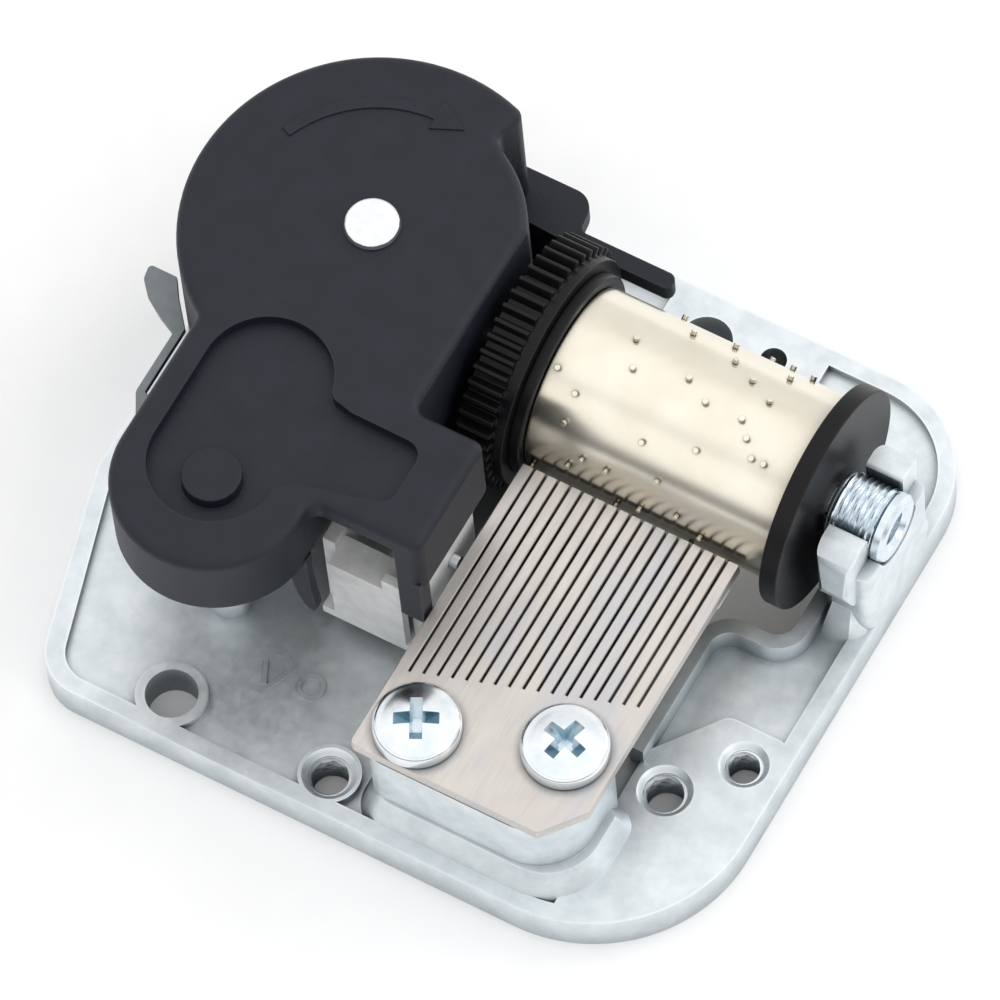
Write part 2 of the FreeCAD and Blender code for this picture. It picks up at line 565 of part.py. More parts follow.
def make_ratchet():
    wire = toothed_wire(size.ratchet_teeth, size.ratchet_radius, size.ratchet_radius - 0.6, 0.1, 1.2, 0)
    solid = Part.Face(wire).extrude(Vector(0, 0, size.ratchet_thick))
    solid = solid.cut(Part.makeCylinder(size.arbor_radius, size.ratchet_thick))
    finish(feature("RatchetWheel", solid, (0, 0, f"{crown_z} + crown_thick + 1.9")), "ratchet_wheel")


def make_click_spring():
    """Spring washer that sits in the crown wheel, its three fingers under the ratchet."""
    ring = Part.makeCylinder(4.6, 0.3).cut(Part.makeCylinder(size.arbor_radius + 0.5, 0.3))
    fingers = []
    for number in range(3):
        finger = Part.makeBox(2.2, 1.0, 0.3, Vector(0, -0.5, 0))
        finger.rotate(Vector(), Vector(0, 1, 0), -32)
        finger.translate(Vector(3.0, 0, 0))
        finger.rotate(Vector(), Vector(0, 0, 1), 120 * number)
        fingers.append(finger)
    click = feature("ClickWasher", ring.fuse(fingers), (0, 0, f"{crown_z} + crown_thick"))
    finish(click, "click_spring")


def make_crown():
    disc = Part.makeCylinder(size.crown_outer + 0.1, size.crown_thick)
    pace = 2 * math.pi * (size.crown_outer + size.crown_inner) / 2 / size.crown_teeth
    first = math.degrees(math.atan2(size.axis_y, (size.crown_outer + size.crown_inner) / 2))
    teeth = []
    for number in range(int(size.crown_teeth)):
        low, high = pace * 0.28, pace * 0.13
        flank = [Vector(size.crown_inner, -low, 0), Vector(size.crown_inner, low, 0),
                 Vector(size.crown_inner, high, size.crown_tooth + 0.1),
                 Vector(size.crown_inner, -high, size.crown_tooth + 0.1)]
        tooth = Part.Face(Part.makePolygon(flank + flank[:1]))
        tooth = tooth.extrude(Vector(size.crown_outer - size.crown_inner, 0, 0))
        tooth.translate(Vector(0, 0, size.crown_thick - 0.1))
        tooth.rotate(Vector(), Vector(0, 0, 1), first + 360 / size.crown_teeth * (number + 0.5))
        teeth.append(tooth)
    solid = disc.fuse(teeth).cut(Part.makeCylinder(size.arbor_radius + size.running_gap, 9))
    finish(feature("CrownWheel", solid, (0, 0, crown_z)), "crown_wheel")


def make_washer():
    thick = crown_z - size.pit_floor - size.running_gap
    disc = cylinder("WasherDisc", "arbor_radius + 2", thick, (0, 0, "pit_floor"))
    bore = cylinder("WasherBore", "arbor_radius + running_gap", thick + 2, (0, 0, "pit_floor - 1"))
    finish(cut("CrownWasher", disc, bore), "crown_washer")


def along_axis(name, radius, left, length):
    return cylinder(name, radius, length, (left, "axis_y", "axis_z"), ALONG_X)


def make_cylinder_gear():
    gear = spur(size.gear_teeth, size.gear_module, size.gear_width, 0, 0)
    gear = feature("GearTeeth", gear, ("gear_left", "axis_y", "axis_z"), ALONG_X)
    flange = along_axis("GearFlange", "flange_radius", "gear_left + gear_width", "flange_width")
    plug = along_axis("GearPlug", "drum_radius - drum_wall - 0.05", "gear_left + gear_width",
                      "flange_width + ring_width + 2")
    bore = along_axis("GearBore", "shaft_radius", "gear_left - 1", 9)
    finish(cut("CylinderGear", fuse("GearSolid", gear, flange, plug), bore), "cylinder_gear")


def make_cylinder_ring():
    left = "gear_left + gear_width + flange_width"
    outer = along_axis("RingOuter", "ring_radius", left, "ring_width")
    inner = along_axis("RingInner", "drum_radius - drum_wall", left, "ring_width")
    finish(cut("CylinderRing", outer, inner), "cylinder_ring")


def make_sleeve():
    outer = along_axis("SleeveOuter", "drum_radius", "drum_left", "drum_length")
    inner = along_axis("SleeveInner", "drum_radius - drum_wall", "drum_left", "drum_length")
    finish(cut("CylinderSleeve", outer, inner), "cylinder_sleeve")


# The tune: for each beat of the cylinder's turn, the teeth that sound (0 is the lowest)
BEATS = 40
TUNE = {
    0: (3, 9), 1: (12,), 2: (14, 5), 3: (16,), 4: (10,), 5: (7, 15), 6: (11,), 7: (13,),
    8: (4, 15), 9: (9,), 10: (5, 11, 14), 11: (15,), 12: (0, 16, 17), 13: (2, 12), 14: (8,),
    15: (2,), 16: (10,), 17: (4, 6), 18: (3, 12), 19: (9, 14), 20: (0, 7), 21: (13,),
    22: (8, 16), 23: (10,), 24: (3, 12), 25: (15,), 26: (6, 9), 27: (17,), 28: (11, 1),
    29: (14,), 30: (8, 4), 31: (12,), 32: (16, 7), 33: (2, 13), 34: (10,), 35: (5, 15),
    36: (9,), 37: (6, 14), 38: (17, 3), 39: (11,),
}


def make_pins():
    pace = size.comb_width / size.comb_teeth
    pins = []
    for beat, notes in TUNE.items():
        angle = math.radians(360.0 / BEATS * (beat + 0.5))
        outward = Vector(0, math.cos(angle), math.sin(angle))
        for note in notes:
            centre = Vector(size.comb_left + pace * (note + 0.5), size.axis_y, size.axis_z)
            pins.append(Part.makeCylinder(size.pin_radius, size.pin_reach,
                                          centre + outward * size.drum_radius, outward))
    foot = [pin.cut(Part.makeCylinder(size.drum_radius, 60, Vector(0, size.axis_y, size.axis_z),
                                      Vector(1, 0, 0))) for pin in pins]
    finish(feature("CylinderPins", Part.makeCompound(foot)), "cylinder_pins")


def make_end_disc():
    disc = along_axis("DiscBody", "disc_radius", "drum_left + drum_length", "disc_width")
    plug = along_axis("DiscPlug", "drum_radius - drum_wall - 0.05", "drum_left + drum_length - 3", 3)
    bore = along_axis("DiscBore", "shaft_radius", "drum_left + drum_length - 4", 9)
    finish(cut("EndDisc", fuse("DiscSolid", disc, plug), bore), "cylinder_end_disc")


def make_shaft():
    end = disc_right + size.bush_gap + size.bush_length - 1.2
    body = along_axis("ShaftBody", "shaft_radius", "gear_left", f"{end} - gear_left")
    pivot = along_axis("ShaftPivot", "pivot_radius", "notch_x - 1.0", "gear_left - notch_x + 1.2")
    finish(fuse("CylinderShaft", body, pivot), "cylinder_shaft")


def make_bush():
    """Threaded bearing bush, staked into the bedplate's saddle."""
    left = disc_right + size.bush_gap
    crest, root = size.bush_radius, size.bush_radius - size.thread_depth
    profile = [(0, size.shaft_radius + size.running_gap), (0, root), (0.3, root)]
    turns = int((size.bush_length - 1.1) / size.thread_pitch)
    for number in range(turns):
        start = 0.3 + size.thread_pitch * number
        profile.append((start + size.thread_pitch / 2, crest))
        profile.append((start + size.thread_pitch, root))
    profile.append((profile[-1][0] + 0.01, crest - 0.05))
    profile.append((size.bush_length - 0.2, crest - 0.05))
    profile.append((size.bush_length, crest - 0.25))
    profile.append((size.bush_length, size.shaft_radius + size.running_gap))
    points = [Vector(along, out, 0) for along, out in profile]
    face = Part.Face(Part.makePolygon(points + points[:1]))
    solid = face.revolve(Vector(), Vector(1, 0, 0), 360)
    finish(feature("BearingBush", solid, (left, "axis_y", "axis_z")), "bearing_bush")


def make_comb():
    left, right = size.comb_left, size.comb_left + size.comb_width
    corners = [(left, size.comb_base_y, 0.4), (right - size.comb_corner, size.comb_base_y, 0.4),
               (right, size.comb_base_y + size.comb_corner * 1.25, 0.4),
               (right, comb_tip_y, 0), (left, comb_tip_y, 0)]
    blank = pad("CombBlank", corners, "comb_top - comb_thick", "comb_thick")
    pace = size.comb_width / size.comb_teeth
    slots = []
    for number in range(1, int(size.comb_teeth)):
        share = (number - 1) / (size.comb_teeth - 2)
        root = size.slot_root_left + (size.slot_root_right - size.slot_root_left) * share
        slot_left = left + pace * number - size.slot_width / 2
        slots.append(box(f"Slot{number}", "slot_width", comb_tip_y - root + 1, "comb_thick + 1",
                         (slot_left, root, "comb_top - comb_thick - 0.5")))
    for name, (x, y) in SCREWS.items():
        slots.append(cylinder(f"CombBore{name}", "screw_radius + 0.1", 3, (x, y, "comb_top - 2")))
    finish(cut("Comb", blank, *slots), "comb")


def make_comb_screws():
    screws = []
    for name, (x, y) in SCREWS.items():
        shank = cylinder(f"Shank{name}", "screw_radius", "screw_depth + comb_thick - 0.3",
                         (x, y, "comb_top - comb_thick - screw_depth + 0.3"))
        head = cylinder(f"Head{name}", "head_radius", "head_height", (x, y, "comb_top"))
        low = "comb_top + head_height - cross_depth"
        cross = [box(f"CrossA{name}", "cross_length", "cross_width", 2,
                     (f"{x} - cross_length / 2", f"{y} - cross_width / 2", low)),
                 box(f"CrossB{name}", "cross_width", "cross_length", 2,
                     (f"{x} - cross_width / 2", f"{y} - cross_length / 2", low))]
        screws.append(cut(f"Screw{name}", fuse(f"ScrewSolid{name}", shank, head), *cross))
    doc.recompute()
    finish(feature("CombScrews", Part.makeCompound([item.Shape for item in screws])), "comb_screws")


def make_comb_weights():
    """Lead weights under the long low-pitched teeth."""
    pace = size.comb_width / size.comb_teeth
    low = size.comb_top - size.comb_thick
    blocks = []
    for number in range(9):
        length = 6.0 - 0.55 * number
        depth = 2.6 - 0.2 * number
        corner = Vector(size.comb_left + pace * number + size.slot_width / 2 + 0.03,
                        comb_tip_y - 2.2 - length, low - depth)
        blocks.append(Part.makeBox(pace - size.slot_width - 0.06, length, depth, corner))
    finish(feature("CombWeights", Part.makeCompound(blocks)), "comb_weights")


def make_comb_dampers():
    """Thin plastic vanes under the high teeth."""
    pace = size.comb_width / size.comb_teeth
    low = size.comb_top - size.comb_thick
    vanes = []
    for number in range(9, int(size.comb_teeth)):
        corner = Vector(size.comb_left + pace * number + 0.25, comb_tip_y - 2.6, low - 1.2)
        vanes.append(Part.makeBox(pace - 0.5, 1.6, 1.2, corner))
    finish(feature("CombDampers", Part.makeCompound(vanes)), "comb_dampers")


def make_governor():
    bore = size.axle_radius
    pinion = spur(size.idler_teeth, size.gear_module, size.idler_width, 15, bore)
    finish(feature("IdlerPinion", pinion, ("gear_left - 0.3", idler_y, "axis_z"), ALONG_X),
           "idler_pinion")
    axle = cylinder("IdlerAxle", "axle_radius", "gear_left + 1.6 - bracket_left",
                    ("bracket_left + 0.1", idler_y, "axis_z"), ALONG_X)
    finish(axle, "idler_axle")
    wheel_phase = size.governor_angle - 180 + 180 / size.governor_teeth + 90
    wheel = spur(size.governor_teeth, size.gear_module, 1.8, wheel_phase, bore)
    finish(feature("GovernorWheel", wheel, ("gear_left - 0.1", governor_y, governor_z), ALONG_X),
           "governor_wheel")
    axle = cylinder("GovernorAxle", "axle_radius", "bracket_right + bracket_wall + 2.6 - lobe_x",
                    ("lobe_x - 2.0", governor_y, governor_z), ALONG_X)
    finish(axle, "governor_axle")
    wire = toothed_wire(size.worm_teeth, size.worm_wheel_radius + 0.18, size.worm_wheel_radius - 0.3,
                        worm_pace * 0.22, worm_pace * 0.5, 0)
    worm_wheel = Part.Face(wire).extrude(Vector(0, 0, size.worm_wheel_width))
    worm_wheel = worm_wheel.cut(Part.makeCylinder(bore, size.worm_wheel_width))
    finish(feature("WormWheel", worm_wheel,
                   ("lobe_x - worm_wheel_width / 2", governor_y, governor_z), ALONG_X), "worm_wheel")


def make_worm_spindle():
    pitch_radius = governor_y - size.lobe_y - size.worm_wheel_radius
    lead = worm_pace * size.worm_starts
    length = lead * WORM_TURNS
    core_radius = pitch_radius - 0.35
    solid = Part.makeCylinder(core_radius, length + 0.8, Vector(0, 0, worm_start - 0.4))
    for number in range(int(size.worm_starts)):
        helix = Part.makeHelix(lead, length, core_radius)
        section = [Vector(core_radius - 0.1, 0, -0.16), Vector(core_radius + 0.5, 0, -0.08),
                   Vector(core_radius + 0.5, 0, 0.08), Vector(core_radius - 0.1, 0, 0.16)]
        wire = Part.makePolygon(section + section[:1])
        thread = Part.Wire(helix.Edges).makePipeShell([wire], True, True)
        thread.rotate(Vector(), Vector(0, 0, 1), 360 / size.worm_starts * number)
        thread.translate(Vector(0, 0, worm_start))
        solid = solid.fuse(thread)
    rod_low = size.post_top - 1.5
    rod_high = size.top_z + size.plug_proud - size.roof - 0.4
    rod = Part.makeCylinder(size.spindle_radius, rod_high - rod_low, Vector(0, 0, rod_low))
    collar = Part.makeCylinder(1.0, 0.4, Vector(0, 0, size.post_top + 0.1))
    solid = solid.fuse([rod, collar])
    finish(feature("WormSpindle", solid, ("lobe_x", "lobe_y", 0)), "worm_spindle")


def make_fan():
    """Two-winged air brake with curved blades."""
    hub = Part.makeCylinder(1.1, size.fan_height)
    blades = []
    for side in (0, 180):
        outer = Part.makeCylinder(2.6, size.fan_height, Vector(size.fan_radius - 2.6, 0, 0))
        inner = Part.makeCylinder(2.2, size.fan_height, Vector(size.fan_radius - 2.6, 0, 0))
        blade = outer.cut(inner).common(Part.makeBox(9, 9, size.fan_height, Vector(-0.2, 0, 0)))
        blade.rotate(Vector(), Vector(0, 0, 1), side)
        blades.append(blade)
    solid = hub.fuse(blades).cut(Part.makeCylinder(size.spindle_radius, size.fan_height))
    finish(feature("AirFan", solid, ("lobe_x", "lobe_y", "fan_z")), "governor_fan")


def make_brake_disc():
    disc = cylinder("BrakeBody", "brake_radius", "brake_thick", ("lobe_x", "lobe_y", brake_z))
    bore = cylinder("BrakeBore", "spindle_radius", 3, ("lobe_x", "lobe_y", brake_z - 1))
    finish(cut("BrakeDisc", disc, bore), "brake_disc")


def make_bracket():
    """Moulded frame that carries the governor's axles under the hood."""
    low = "bracket_low + bracket_floor"
    right = box("BracketRight", "bracket_wall", "bracket_depth", f"hood_z - 0.1 - ({low})",
                ("bracket_right", "bracket_front", low))
    left = box("BracketLeft", "bracket_wall", f"{idler_y} + 1.2 - bracket_front",
               f"chamber_z - cover_thick - 0.3 - ({low})", ("bracket_left", "bracket_front", low))
    floor = box("BracketFloor", "bracket_right + bracket_wall - bracket_left",
                "bracket_depth + bracket_front - guard_front", "bracket_floor",
                ("bracket_left", "guard_front", "bracket_low"))
    foot = box("BracketFoot", "bracket_foot", 3.0, "bracket_low - plate_floor",
               ("bracket_left + 0.2", "bracket_front", "plate_floor"))
    guard = box("BracketGuard", "bracket_right - bracket_left - 1", "guard_thick",
                "guard_top - bracket_low", ("bracket_left + 0.9", "guard_front", "bracket_low"))
    cap = box("BracketCap", "bracket_right - bracket_left - 1", "guard_cap", "guard_thick",
              ("bracket_left + 0.9", "guard_front", "guard_top - guard_thick"))
    post = box("BracketPost", "bracket_right - guard_right - 0.1", "guard_thick",
               "guard_post - bracket_low", ("guard_right", "guard_front", "bracket_low"))
    bores = [cylinder("BracketIdler", "axle_radius + running_gap", 4,
                      ("bracket_left - 2", idler_y, "axis_z"), ALONG_X),
             cylinder("BracketGovernor", "axle_radius + running_gap", 12,
                      ("bracket_left - 2", governor_y, governor_z), ALONG_X),
             cylinder("BracketTap", "bolt_radius + running_gap", 9, (*BRACKET_SCREW, 0))]
    solid = fuse("BracketSolid", right, left, floor, foot, guard, cap, post)
    finish(cut("GovernorBracket", solid, *bores), "governor_bracket")


def make_stop_lever():
    """Flat sheet lever: finger tab outside, pad beside the brake disc inside."""
    px, py = size.lever_x, size.lever_y
    tab = [(px - 3.4, py + 5.9, 0.6), (px - 4.8, py + 6.8, 0.8), (px - 5.7, py + 7.8, 0.7),
           (px - 5.9, py + 8.9, 0.3), (px - 3.8, py + 8.9, 0.3), (px - 2.95, py + 7.65, 0.3),
           (px - 1.4, py + 5.8, 0.2)]
    inner = [(px - 1.4, py + 0.6, 0.15), (px - 0.9, py + 0.5, 0.15), (px - 0.7, py + 1.2, 0.25),
             (px + 0.8, py + 1.2, 0.6)]
    pad_end = [(px + 4.3, py - 4.3, 0.5), (px + 4.3, py - 6.0, 0.4), (px + 3.3, py - 5.6, 0.4)]
    back = [(px - 1.2, py - 1.0, 1.0), (px - 2.0, py + 0.4, 0.8), (px - 2.0, py + 5.2, 0.3)]
    blank = pad("LeverBlank", tab + inner + pad_end + back, brake_z, "lever_thick")
    bore = cylinder("LeverBore", "lever_pin + running_gap", 3, ("lever_x", "lever_y", brake_z - 1))
    finish(cut("StopLever", blank, bore), "stop_lever")


def make_lever_pin():
    foot = cylinder("PinFoot", "lever_foot", f"{brake_z} - plate_floor - 0.05",
                    ("lever_x", "lever_y", "plate_floor"))
    stem = cylinder("PinStem", "lever_pin", "lever_thick + 0.4", ("lever_x", "lever_y", brake_z - 0.1))
    head = cylinder("PinHead", "lever_head", 0.35,
                    ("lever_x", "lever_y", f"{brake_z} + lever_thick + 0.1"))
    finish(fuse("LeverPin", foot, stem, head), "stop_lever_post")


def make_housing_screws():
    screws = []
    lengths = {**dict.fromkeys(HOUSING_SCREWS, 6.0), "Bracket": 3.6}
    for name, (x, y) in {**HOUSING_SCREWS, "Bracket": BRACKET_SCREW}.items():
        shank = cylinder(f"Bolt{name}", "bolt_radius", lengths[name], (x, y, 0.9))
        head = cylinder(f"BoltHead{name}", "bolt_head", 0.85, (x, y, 0.1))
        slot = box(f"BoltSlot{name}", 4.0, 0.5, 0.8, (x - 2.0, y - 0.25, -0.4))
        screws.append(cut(f"BoltSolid{name}", fuse(f"BoltBody{name}", shank, head), slot))
    doc.recompute()
    finish(feature("HousingScrews", Part.makeCompound([item.Shape for item in screws])), "housing_screws")


for make in (make_bedplate, make_housing, make_plug, make_arbor, make_spring, make_spring_cover,
             make_ratchet, make_click_spring, make_crown, make_washer, make_cylinder_gear,
             make_cylinder_ring, make_sleeve, make_pins, make_end_disc, make_shaft, make_bush,
             make_comb, make_comb_screws, make_comb_weights, make_comb_dampers, make_governor,
             make_worm_spindle, make_fan, make_brake_disc, make_bracket, make_stop_lever,
             make_lever_pin, make_housing_screws):
    make()
doc.recompute()

for item in doc.Objects:
    if "Invalid" in item.State or "Error" in item.State:
        raise RuntimeError(f"{item.Name} did not compute: {item.State}")
for item in sub_parts:
    if item.Shape.isNull() or not item.Shape.isValid() or not item.Shape.Solids:
        raise RuntimeError(f"{item.Label} has no valid solid")

os.makedirs("parts", exist_ok=True)
for item in sub_parts:
    item.Shape.exportStep(f"parts/{item.Label}.step")
    print(item.Label, len(item.Shape.Solids), round(item.Shape.Volume, 2))
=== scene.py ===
import json
import math

import bmesh
import bpy
from mathutils import Matrix, Vector


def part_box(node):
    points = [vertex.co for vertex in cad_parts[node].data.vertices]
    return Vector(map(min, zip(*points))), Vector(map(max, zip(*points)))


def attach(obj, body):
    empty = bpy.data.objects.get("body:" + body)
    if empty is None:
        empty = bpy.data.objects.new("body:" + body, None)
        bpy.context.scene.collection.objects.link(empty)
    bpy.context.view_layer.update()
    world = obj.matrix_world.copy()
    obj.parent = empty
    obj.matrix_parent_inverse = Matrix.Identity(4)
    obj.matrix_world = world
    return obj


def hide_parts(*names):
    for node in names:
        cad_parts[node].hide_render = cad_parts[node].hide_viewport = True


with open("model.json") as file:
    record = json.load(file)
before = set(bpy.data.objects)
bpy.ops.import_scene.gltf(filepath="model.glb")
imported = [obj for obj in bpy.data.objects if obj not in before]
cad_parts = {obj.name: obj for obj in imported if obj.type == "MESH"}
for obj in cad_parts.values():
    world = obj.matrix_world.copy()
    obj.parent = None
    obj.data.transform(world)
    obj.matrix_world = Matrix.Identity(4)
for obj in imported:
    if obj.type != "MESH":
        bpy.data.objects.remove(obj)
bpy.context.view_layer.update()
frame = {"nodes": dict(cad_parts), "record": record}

MM = 0.001


# ---------------------------------------------------------------- studio
# A shooting table seen from high on the comb's side with a long lens: a bright tent overhead
# and behind, a dim room low down in front, and two soft boxes.
class Link:
    """One value travelling through a node tree; arithmetic adds the Math nodes."""

    def __init__(self, wiring, socket):
        self.wiring = wiring
        self.socket = socket

    def _with(self, operation, *values):
        return self.wiring.node("Math", {"operation": operation}, dict(enumerate(values)))

    def __add__(self, other):
        return self._with("ADD", self, other)

    def __sub__(self, other):
        return self._with("SUBTRACT", self, other)

    def __rsub__(self, other):
        return self._with("SUBTRACT", other, self)

    def __mul__(self, other):
        return self._with("MULTIPLY", self, other)

    __radd__ = __add__
    __rmul__ = __mul__


class Wiring:
    """Adds nodes to one tree: settings first, then each socket's value or link."""

    def __init__(self, tree):
        self.tree = tree

    def node(self, kind, settings, inputs, out=0):
        item = self.tree.nodes.new("ShaderNode" + kind)
        for key, value in settings.items():
            if key == "stops":
                self._stops(item.color_ramp, value)
            else:
                setattr(item, key, value)
        for key, value in inputs.items():
            if isinstance(value, Link):
                self.tree.links.new(value.socket, item.inputs[key])
            else:
                item.inputs[key].default_value = value
        return Link(self, item.outputs[out])

    @staticmethod
    def _stops(ramp, stops):
        while len(ramp.elements) < len(stops):
            ramp.elements.new(0.5)
        for element, (position, colour) in zip(ramp.elements, stops):
            element.position = position
            element.color = (*colour, 1)

    def tint(self, value, *stops):
        return self.node("ValToRGB", {"stops": stops}, {0: value})

    def blend(self, factor, first, second):
        return self.node("Mix", {"data_type": "RGBA"}, {0: factor, 6: first, 7: second}, 2)

    def spread(self, value, low, high):
        """Stretch the middle of a noise to the full 0 to 1."""
        return self.node("MapRange", {}, {"Value": value, "From Min": low, "From Max": high})


def studio_camera():
    azimuth, elevation, roll = (math.radians(a) for a in (35.03, 62.29, -6.45))
    distance, focal_length = 0.77124, 424.8
    level = Vector((math.cos(azimuth), math.sin(azimuth), 0))
    back = Vector((math.sin(azimuth) * math.cos(elevation), -math.cos(azimuth) * math.cos(elevation),
                   math.sin(elevation)))
    rise = back.cross(level)
    right = level * math.cos(roll) + rise * math.sin(roll)
    up = rise * math.cos(roll) - level * math.sin(roll)
    aim = Vector((11.0, -4.95, 0)) * MM
    lens = bpy.data.cameras.new("studio_lens")
    lens.sensor_width = 36
    lens.lens = focal_length
    lens.clip_end = 10
    camera = bpy.data.objects.new("studio_camera", lens)
    turn = Matrix((right, up, back)).transposed().to_4x4()
    camera.matrix_world = Matrix.Translation(aim + back * distance) @ turn
    bpy.context.collection.objects.link(camera)
    bpy.context.scene.camera = camera


def studio_tent():
    world = bpy.data.worlds.new("studio_tent")
    world.use_nodes = True
    tent = Wiring(world.node_tree)
    toward = tent.node("TexCoord", {}, {}, "Generated")
    height = tent.node("SeparateXYZ", {}, {0: toward}, "Z")
    depth = tent.node("SeparateXYZ", {}, {0: toward}, "Y")
    front = tent.tint(height, (0.02, (0.10, 0.10, 0.10)), (0.16, (0.30, 0.30, 0.31)),
                      (0.30, (1.15, 1.15, 1.15)), (0.72, (1.2, 1.2, 1.2)), (0.84, (0.92, 0.92, 0.93)),
                      (0.92, (1.2, 1.2, 1.2)))
    rear = tent.tint(height, (0.1, (0.92, 0.92, 0.92)), (0.60, (0.98, 0.98, 0.98)),
                     (0.80, (1.2, 1.2, 1.2)))
    glow = tent.blend(tent.spread(depth, -0.35, 0.15), front, rear)
    background = world.node_tree.nodes["Background"]
    world.node_tree.links.new(glow.socket, background.inputs["Color"])
    background.inputs["Strength"].default_value = 1.0
    bpy.context.scene.world = world


def soft_box(name, place, size, glow):
    light = bpy.data.lights.new(name, "AREA")
    light.shape = "SQUARE"
    light.size = size
    light.energy = glow * math.pi * size * size
    lamp = bpy.data.objects.new(name, light)
    lamp.location = place
    lamp.rotation_euler = (Vector((0.012, -0.009, 0)) - Vector(place)).to_track_quat("-Z", "Y").to_euler()
    bpy.context.collection.objects.link(lamp)


studio_camera()
studio_tent()
soft_box("rear_box", (0.30, 0.42, 0.30), 0.22, 3.0)
soft_box("side_box", (0.50, -0.02, 0.32), 0.20, 1.6)
bpy.context.scene.view_settings.view_transform = "Standard"


# ---------------------------------------------------------------- floor
# Matt white card that the movement lies on.
class Finish(Wiring):
    """A material whose constants sit on the shader and whose variation comes from nodes."""

    def __init__(self, name, **constants):
        self.material = bpy.data.materials.new(name)
        self.material.use_nodes = True
        super().__init__(self.material.node_tree)
        self.shader = self.tree.nodes["Principled BSDF"]
        for socket, value in constants.items():
            self.shader.inputs[socket.replace("_", " ")].default_value = value
        where = self.node("TexCoord", {}, {}, "Object")
        self.place = self.node("VectorMath", {"operation": "SCALE"}, {0: where, "Scale": 1 / MM})

    def noise(self, scale, detail=4.0, stretch=(1, 1, 1), distortion=0.0):
        grid = self.node("VectorMath", {"operation": "MULTIPLY"}, {0: self.place, 1: stretch})
        return self.node("TexNoise", {}, {"Vector": grid, "Scale": scale, "Detail": detail,
                                          "Distortion": distortion})

    def edges(self, reach, gain):
        """1 along edges, 0 on flats: edge wear on the zinc, painted sheen on the black mouldings."""
        rounded = self.node("Bevel", {"samples": 4}, {"Radius": reach * MM})
        true = self.node("NewGeometry", {}, {}, "Normal")
        alike = self.node("VectorMath", {"operation": "DOT_PRODUCT"}, {0: rounded, 1: true}, "Value")
        return self.node("Math", {"operation": "MULTIPLY", "use_clamp": True},
                         {0: 1 - alike, 1: gain})

    # Ambient occlusion: the mask that paints shade into hollows, creases and under parts.
    def painted_crevice_shade(self, reach):
        return self.node("AmbientOcclusion", {"samples": 8}, {"Distance": reach * MM}, "AO")

    def bump(self, height, strength, depth):
        return self.node("Bump", {}, {"Height": height, "Strength": strength, "Distance": depth * MM})

    def feed(self, **links):
        for socket, value in links.items():
            self.tree.links.new(value.socket, self.shader.inputs[socket.replace("_", " ")])
        return self.material


def card_finish():
    card = Finish("white_card", Roughness=0.9)
    tone = card.tint(card.noise(0.4), (0.3, (0.955, 0.955, 0.96)), (0.7, (0.975, 0.975, 0.975)))
    return card.feed(Base_Color=tone)


def lay_floor(reach=0.6):
    mesh = bpy.data.meshes.new("floor")
    corners = [(-reach, -reach, 0), (reach, -reach, 0), (reach, reach, 0), (-reach, reach, 0)]
    mesh.from_pydata(corners, [], [(0, 1, 2, 3)])
    mesh.materials.append(card_finish())
    floor = bpy.data.objects.new("floor", mesh)
    floor.location.z = -0.02 * MM
    bpy.context.collection.objects.link(floor)


lay_floor()


# ---------------------------------------------------------------- bedplate
# Die-cast zinc: floor, rim, comb foot, saddle and posts in one casting. Its corners are
# softened by the tool and its rim is bright where it has been tumbled.
record = frame["record"]
body_of = {node: body for body, nodes in record["behaviour"]["bodies"].items() for node in nodes}


def stand_for(piece, node):
    """Let a finished piece take the place of its plain node."""
    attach(piece, body_of[node])
    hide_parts(node)
    return piece


def add_piece(name, mesh, material):
    piece = bpy.data.objects.new(name, mesh)
    mesh.materials.clear()
    mesh.materials.append(material)
    bpy.context.collection.objects.link(piece)
    return piece


def smooth(mesh, angle=32):
    mesh.shade_smooth()
    mesh.set_sharp_from_angle(angle=math.radians(angle))


def softened(node, name, material, bevel, segments=2, angle=32):
    """The node's own form with rounded edges."""
    mesh = bpy.data.meshes.new(name)
    form = bmesh.new()
    form.from_mesh(frame["nodes"][node].data)
    bmesh.ops.remove_doubles(form, verts=form.verts, dist=0.003 * MM)
    bmesh.ops.dissolve_limit(form, angle_limit=math.radians(0.4), verts=form.verts, edges=form.edges)
    form.to_mesh(mesh)
    form.free()
    smooth(mesh, angle)
    piece = add_piece(name, mesh, material)
    if bevel:
        soften = piece.modifiers.new("soft_edges", "BEVEL")
        soften.width = bevel * MM
        soften.segments = segments
        soften.limit_method = "ANGLE"
        soften.angle_limit = math.radians(angle)
        soften.harden_normals = True
    level = piece.modifiers.new("level_faces", "WEIGHTED_NORMAL")
    level.keep_sharp = True
    return stand_for(piece, node)


def zinc_finish():
    zinc = Finish("cast_zinc", Metallic=0.9)
    mottle = zinc.spread(zinc.noise(0.45, 3), 0.35, 0.65)
    flow = zinc.spread(zinc.noise(1.3, 4, distortion=0.5), 0.3, 0.7)
    grain = zinc.noise(6.0, 5)
    edge_wear_and_sheen = zinc.edges(0.28, 9.0)
    colour = zinc.tint(mottle * 0.6 + flow * 0.4, (0.0, (0.66, 0.71, 0.735)), (1.0, (0.84, 0.885, 0.905)))
    colour = zinc.blend(edge_wear_and_sheen, colour, (0.90, 0.93, 0.95, 1))
    # Painted shade: fixing holes, hollows and the floor under the housing darken toward dark blue-grey.
    painted_shade = zinc.painted_crevice_shade(7.0)
    colour = zinc.blend(zinc.spread(painted_shade, 0.75, 0.25) * 0.85, colour, (0.12, 0.14, 0.155, 1))
    return zinc.feed(Base_Color=colour, Roughness=0.34 + grain * 0.14 + flow * 0.06 - edge_wear_and_sheen * 0.10,
                     Normal=zinc.bump(grain * 0.7 + flow * 0.3, 0.22, 0.03))


